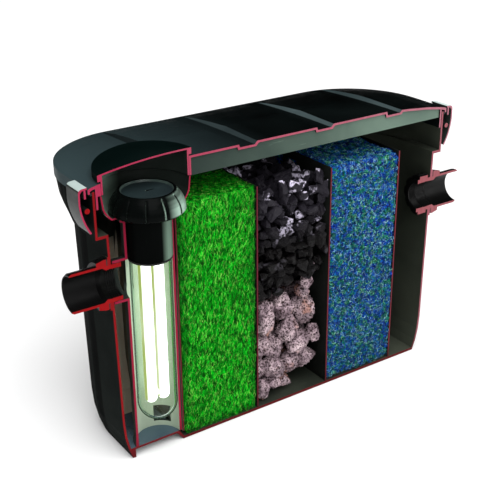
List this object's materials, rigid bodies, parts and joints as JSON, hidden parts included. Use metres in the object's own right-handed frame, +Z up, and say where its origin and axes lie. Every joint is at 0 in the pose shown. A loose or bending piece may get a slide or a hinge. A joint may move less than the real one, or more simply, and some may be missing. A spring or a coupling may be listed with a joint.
{
  "type": "flow-through pond filter with ultraviolet lamp, cut away along its length",
  "caption": "Long rounded pond filter cut open lengthwise: lamp tube, fibre mats, stone and carbon chambers, clipped lid, round lamp cover and hose tails.",
  "frame": {"origin": "middle of the box's length, on the lengthwise cut plane, at the underside of the main floor", "axes": "+X from the inlet end to the outlet end, +Y back from the cut plane, +Z up"},
  "size_m": [0.512, 0.1888, 0.3318],
  "materials": {
    "housing_plastic": "moulded black, satin, red paint on the cut faces",
    "lid_plastic": "moulded black, satin, pinkish crimson paint on the cut faces",
    "cover_plastic": "moulded black, satin, pinkish crimson paint on the cut faces",
    "latch_plastic": "moulded dark grey, pinkish crimson paint on the cut faces",
    "pin_plastic": "moulded black, crimson paint on the cut end",
    "chamber_plastic": "moulded dark grey, crimson paint on the cut faces",
    "cap_plastic": "moulded black, semi-gloss",
    "socket_plastic": "off-white moulding",
    "partition_plastic": "moulded dark grey sheet, red paint on the cut edge",
    "fitting_plastic": "moulded black, red paint on the cut faces",
    "seal_rubber": "soft black rubber",
    "quartz_glass": "clear quartz",
    "green_fibre": "open green fibre",
    "blue_fibre": "open blue and green fibre",
    "pumice": "rough porous stone, pale pink",
    "carbon": "broken black carbon with glinting faces",
    "lamp_glass": "frosted, lit white"
  },
  "bodies": {
    "casing": {"housing": "housing_plastic", "lamp_bowl": "chamber_plastic", "bowl_seal": "seal_rubber", "lamp_tube": "chamber_plastic", "lamp_partition": "partition_plastic", "mat_partition": "partition_plastic", "stone_partition": "partition_plastic", "outlet_partition": "partition_plastic", "green_mat": "green_fibre", "blue_mat": "blue_fibre", "stone_bed": "pumice", "carbon_bed": "carbon", "inlet_hose_tail": "fitting_plastic", "inlet_gasket": "seal_rubber", "inlet_seal": "seal_rubber", "outlet_hose_tail": "fitting_plastic", "outlet_gasket": "seal_rubber", "outlet_lock_nut": "fitting_plastic", "left_latch_pin": "pin_plastic", "right_latch_pin": "pin_plastic"},
    "lid": {"lid": "lid_plastic", "lid_seal": "seal_rubber"},
    "cover": {"lamp_cover": "cover_plastic", "lamp_cover_seal": "seal_rubber"},
    "lamp": {"lamp_cap": "cap_plastic", "lamp_sleeve": "cap_plastic", "lamp_seal": "seal_rubber", "quartz_sleeve": "quartz_glass", "quartz_seal": "seal_rubber", "lamp_socket": "socket_plastic", "uv_lamp": "lamp_glass", "uv_lamp_base": "socket_plastic"},
    "left_latch": {"left_latch": "latch_plastic"},
    "right_latch": {"right_latch": "latch_plastic"}
  },
  "joints": [
    {"name": "lid_lift", "type": "slide", "parent": "casing", "child": "lid", "axis": [0, 0, 1], "range_m": [0, 0.12]},
    {"name": "cover_lift", "type": "slide", "parent": "lid", "child": "cover", "axis": [0, 0, 1], "range_m": [0, 0.08]},
    {"name": "lamp_twist", "type": "hinge", "parent": "casing", "child": "lamp", "pos_m": [-0.168, 0, 0.2782], "axis": [0, 0, 1], "range_deg": [0, 30]},
    {"name": "left_latch_swing", "type": "hinge", "parent": "casing", "child": "left_latch", "pos_m": [-0.2316, 0.012, 0.291], "axis": [0, -1, 0], "range_deg": [0, 7]},
    {"name": "right_latch_swing", "type": "hinge", "parent": "casing", "child": "right_latch", "pos_m": [0.2316, 0.012, 0.291], "axis": [0, 1, 0], "range_deg": [0, 7]}
  ]
}
